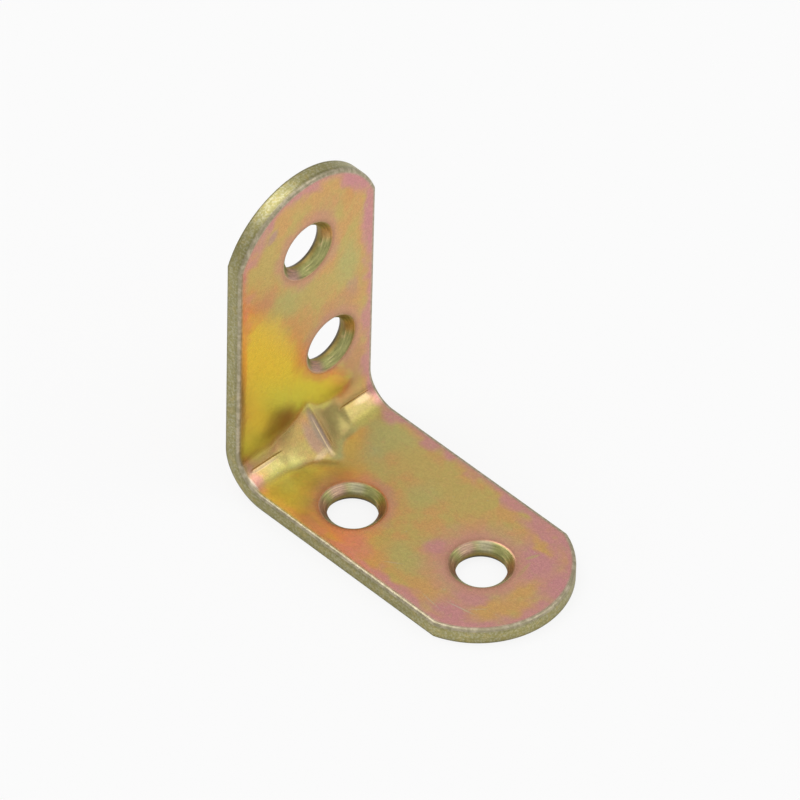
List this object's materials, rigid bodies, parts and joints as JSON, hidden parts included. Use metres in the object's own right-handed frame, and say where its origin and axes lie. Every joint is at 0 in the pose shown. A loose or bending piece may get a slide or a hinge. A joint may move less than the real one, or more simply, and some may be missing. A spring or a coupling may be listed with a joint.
{
  "type": "angle bracket",
  "caption": "Folded sheet-steel angle bracket with equal round-ended legs, countersunk screw holes and a pressed gusset in the fold.",
  "frame": {"origin": "the heel: the line where the planes of the two outer faces meet, at the middle of the width", "axes": "+X from the heel along the base, +Z from the heel up the upright, Y across the width"},
  "size_m": [0.03, 0.0154, 0.03],
  "materials": {
    "zinc_gold": "yellow zinc chromate, satin, with faint iridescent pink, green and gold clouds"
  },
  "bodies": {
    "root": {"angle_bracket": "zinc_gold"}
  },
  "joints": []
}
